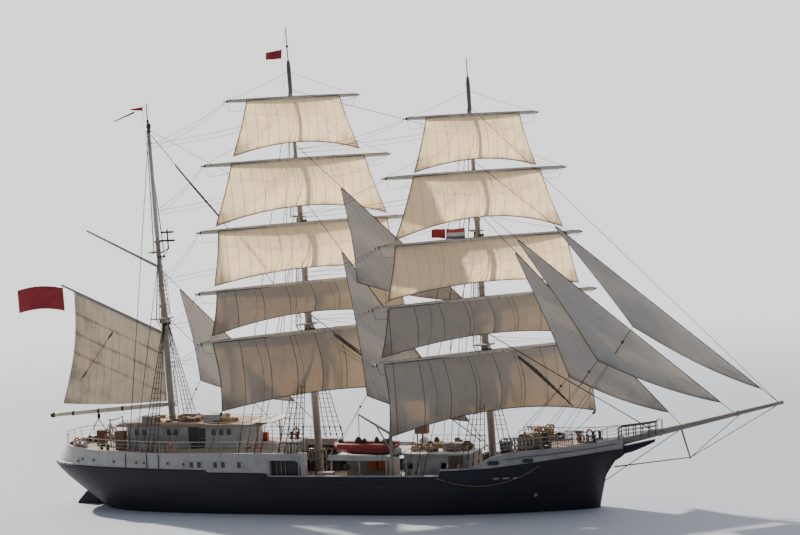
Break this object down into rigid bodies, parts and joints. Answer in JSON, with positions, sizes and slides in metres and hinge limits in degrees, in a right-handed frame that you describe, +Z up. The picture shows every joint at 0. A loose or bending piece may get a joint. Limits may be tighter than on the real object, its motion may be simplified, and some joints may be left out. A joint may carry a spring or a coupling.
{
  "type": "tall ship, three-masted barque, 1:2 scale model",
  "caption": "Half-size model of a three-masted barque under sail: black and white steel hull, buff masts, braced yards with square sails, jibs, staysails and spanker.",
  "frame": {"origin": "amidships on the centreline at the waterline, where the water holds her up", "axes": "+X to the bow, +Y to port, +Z up"},
  "size_m": [33.1294, 7.7116, 22.6377],
  "materials": {
    "hull_black": "semi-gloss",
    "topside_white": "satin",
    "mast_buff": "satin",
    "yard_grey": "satin",
    "canvas": "matte",
    "wire": "matte",
    "bronze": "satin",
    "deck_wood": "matte",
    "varnish": "gloss",
    "boat_red": "matte",
    "flag_red": "matte"
  },
  "bodies": {
    "ship": {"hull": "hull_black", "quarterdeck": "topside_white", "forecastle": "topside_white", "beakhead": "hull_black", "bowsprit": "mast_buff", "fore_mast": "mast_buff", "main_mast": "mast_buff", "mizzen_mast": "mast_buff", "outer_jib_stay": "wire", "inner_jib_stay": "wire", "fore_topmast_staysail_stay": "wire", "main_topgallant_staysail_stay": "wire", "main_topmast_staysail_stay": "wire", "mizzen_topmast_staysail_stay": "wire", "outer_jib": "canvas", "inner_jib": "canvas", "fore_topmast_staysail": "canvas", "main_topgallant_staysail": "canvas", "main_topmast_staysail": "canvas", "mizzen_topmast_staysail": "canvas", "aft_deckhouse": "topside_white", "aft_deckhouse_roof": "deck_wood", "forward_deckhouse": "topside_white", "forward_deckhouse_roof": "topside_white", "boat_deck": "topside_white", "steering_box": "varnish", "windlass": "mast_buff"},
    "rudder": {"rudder": "hull_black"},
    "wheel": {"wheel": "varnish"},
    "propeller_port": {"propeller_port": "bronze"},
    "propeller_starboard": {"propeller_starboard": "bronze"},
    "fore_course_gear": {"fore_course_yard": "yard_grey", "fore_course": "canvas"},
    "fore_lower_topsail_gear": {"fore_lower_topsail_yard": "yard_grey", "fore_lower_topsail": "canvas"},
    "fore_upper_topsail_gear": {"fore_upper_topsail_yard": "yard_grey", "fore_upper_topsail": "canvas"},
    "fore_topgallant_gear": {"fore_topgallant_yard": "yard_grey", "fore_topgallant": "canvas"},
    "fore_royal_gear": {"fore_royal_yard": "yard_grey", "fore_royal": "canvas"},
    "main_course_gear": {"main_course_yard": "yard_grey", "main_course": "canvas"},
    "main_lower_topsail_gear": {"main_lower_topsail_yard": "yard_grey", "main_lower_topsail": "canvas"},
    "main_upper_topsail_gear": {"main_upper_topsail_yard": "yard_grey", "main_upper_topsail": "canvas"},
    "main_topgallant_gear": {"main_topgallant_yard": "yard_grey", "main_topgallant": "canvas"},
    "main_royal_gear": {"main_royal_yard": "yard_grey", "main_royal": "canvas"},
    "spanker_gear": {"spanker_boom": "mast_buff", "spanker_gaff": "mast_buff", "spanker": "canvas", "ensign": "flag_red"},
    "upper_gaff": {"upper_gaff": "mast_buff"},
    "davit": {"boat_davit": "mast_buff", "rescue_boat": "boat_red"},
    "aft_door": {"aft_deckhouse_door": "varnish"},
    "forward_door": {"forward_deckhouse_door": "varnish"}
  },
  "joints": [
    {"name": "rudder_turn", "type": "hinge", "parent": "ship", "child": "rudder", "pos_m": [-11.15, 0, -1.2], "axis": [0, 0, 1], "range_deg": [-35, 35]},
    {"name": "wheel_turn", "type": "hinge", "parent": "ship", "child": "wheel", "pos_m": [-10.45, 0, 3.125], "axis": [1, 0, 0], "range_deg": [-420, 420]},
    {"name": "propeller_port_spin", "type": "hinge", "parent": "ship", "child": "propeller_port", "pos_m": [-10.25, 0.875, -1.425], "axis": [1, 0, 0], "continuous": true},
    {"name": "propeller_starboard_spin", "type": "hinge", "parent": "ship", "child": "propeller_starboard", "pos_m": [-10.25, -0.875, -1.425], "axis": [1, 0, 0], "continuous": true},
    {"name": "fore_brace", "type": "hinge", "parent": "ship", "child": "fore_course_gear", "pos_m": [6.9, 0, 2.4], "axis": [-0.029, 0, 0.9996], "range_deg": [0, 86]},
    {"name": "fore_lower_topsail_brace", "type": "hinge", "parent": "ship", "child": "fore_lower_topsail_gear", "pos_m": [6.9, 0, 2.4], "axis": [-0.029, 0, 0.9996], "range_deg": [0, 86]},
    {"name": "fore_upper_topsail_brace", "type": "hinge", "parent": "ship", "child": "fore_upper_topsail_gear", "pos_m": [6.9, 0, 2.4], "axis": [-0.029, 0, 0.9996], "range_deg": [0, 86]},
    {"name": "fore_topgallant_brace", "type": "hinge", "parent": "ship", "child": "fore_topgallant_gear", "pos_m": [6.9, 0, 2.4], "axis": [-0.029, 0, 0.9996], "range_deg": [0, 86]},
    {"name": "fore_royal_brace", "type": "hinge", "parent": "ship", "child": "fore_royal_gear", "pos_m": [6.9, 0, 2.4], "axis": [-0.029, 0, 0.9996], "range_deg": [0, 86]},
    {"name": "main_brace", "type": "hinge", "parent": "ship", "child": "main_course_gear", "pos_m": [-0.745, 0, 2.4], "axis": [-0.0382, 0, 0.9993], "range_deg": [0, 86]},
    {"name": "main_lower_topsail_brace", "type": "hinge", "parent": "ship", "child": "main_lower_topsail_gear", "pos_m": [-0.745, 0, 2.4], "axis": [-0.0382, 0, 0.9993], "range_deg": [0, 86]},
    {"name": "main_upper_topsail_brace", "type": "hinge", "parent": "ship", "child": "main_upper_topsail_gear", "pos_m": [-0.745, 0, 2.4], "axis": [-0.0382, 0, 0.9993], "range_deg": [0, 86]},
    {"name": "main_topgallant_brace", "type": "hinge", "parent": "ship", "child": "main_topgallant_gear", "pos_m": [-0.745, 0, 2.4], "axis": [-0.0382, 0, 0.9993], "range_deg": [0, 86]},
    {"name": "main_royal_brace", "type": "hinge", "parent": "ship", "child": "main_royal_gear", "pos_m": [-0.745, 0, 2.4], "axis": [-0.0382, 0, 0.9993], "range_deg": [0, 86]},
    {"name": "spanker_swing", "type": "hinge", "parent": "ship", "child": "spanker_gear", "pos_m": [-7.37, 0, 2.4], "axis": [-0.0408, 0, 0.9992], "range_deg": [-63, 47]},
    {"name": "upper_gaff_swing", "type": "hinge", "parent": "ship", "child": "upper_gaff", "pos_m": [-7.37, 0, 2.4], "axis": [-0.0408, 0, 0.9992], "range_deg": [-63, 47]},
    {"name": "davit_slew", "type": "hinge", "parent": "ship", "child": "davit", "pos_m": [3.2, -2.25, 1.1], "axis": [0, 0, 1], "range_deg": [0, 90]},
    {"name": "aft_door_swing", "type": "hinge", "parent": "ship", "child": "aft_door", "pos_m": [-6.15, -1.3153, 3], "axis": [0, 0, -1], "range_deg": [0, 110]},
    {"name": "forward_door_swing", "type": "hinge", "parent": "ship", "child": "forward_door", "pos_m": [4.2, -1.3653, 1.5], "axis": [0, 0, -1], "range_deg": [0, 110]}
  ],
  "couplings": [
    {"joint": "wheel_turn", "follows": "rudder_turn", "ratio": 12},
    {"joint": "fore_lower_topsail_brace", "follows": "fore_brace", "ratio": 1},
    {"joint": "fore_upper_topsail_brace", "follows": "fore_brace", "ratio": 1},
    {"joint": "fore_topgallant_brace", "follows": "fore_brace", "ratio": 1},
    {"joint": "fore_royal_brace", "follows": "fore_brace", "ratio": 1},
    {"joint": "main_lower_topsail_brace", "follows": "main_brace", "ratio": 1},
    {"joint": "main_upper_topsail_brace", "follows": "main_brace", "ratio": 1},
    {"joint": "main_topgallant_brace", "follows": "main_brace", "ratio": 1},
    {"joint": "main_royal_brace", "follows": "main_brace", "ratio": 1}
  ]
}
